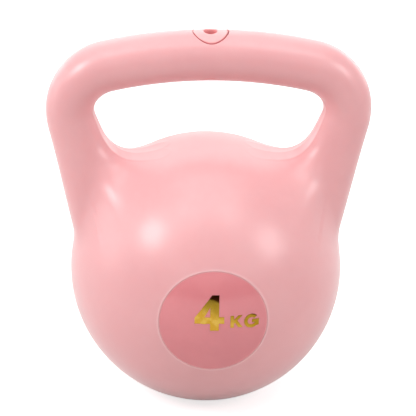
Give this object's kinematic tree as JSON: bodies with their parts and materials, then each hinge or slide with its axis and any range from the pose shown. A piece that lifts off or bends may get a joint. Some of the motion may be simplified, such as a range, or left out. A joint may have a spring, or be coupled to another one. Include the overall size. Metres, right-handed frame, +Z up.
{
  "type": "kettlebell",
  "caption": "Soft vinyl kettlebell: a round filled ball with a flat base, two flared horns and a bowed grip, filled through a plugged port in the top of the handle.",
  "frame": {"origin": "middle of the flat base, on the surface the kettlebell stands on", "axes": "+Z up through the ball and the middle of the handle, +X along the handle's bar, +Y to the back; the badge faces -Y"},
  "size_m": [0.1888, 0.1599, 0.2224],
  "materials": {
    "shell_vinyl": "satin",
    "bung_vinyl": "satin",
    "fill_sand": "matte",
    "badge_gloss": "gloss",
    "film_clear": "satin",
    "figure_gold": "polished"
  },
  "bodies": {
    "kettlebell": {"vinyl_shell": "shell_vinyl", "sand_fill": "fill_sand", "badge_disc": "badge_gloss", "badge_film": "film_clear", "numeral_four": "figure_gold", "letter_k": "figure_gold", "letter_g": "figure_gold"},
    "bung": {"filler_bung": "bung_vinyl"}
  },
  "joints": [
    {"name": "bung_pull", "type": "slide", "parent": "kettlebell", "child": "bung", "axis": [0, 0, 1], "range_m": [0, 0.018]}
  ]
}
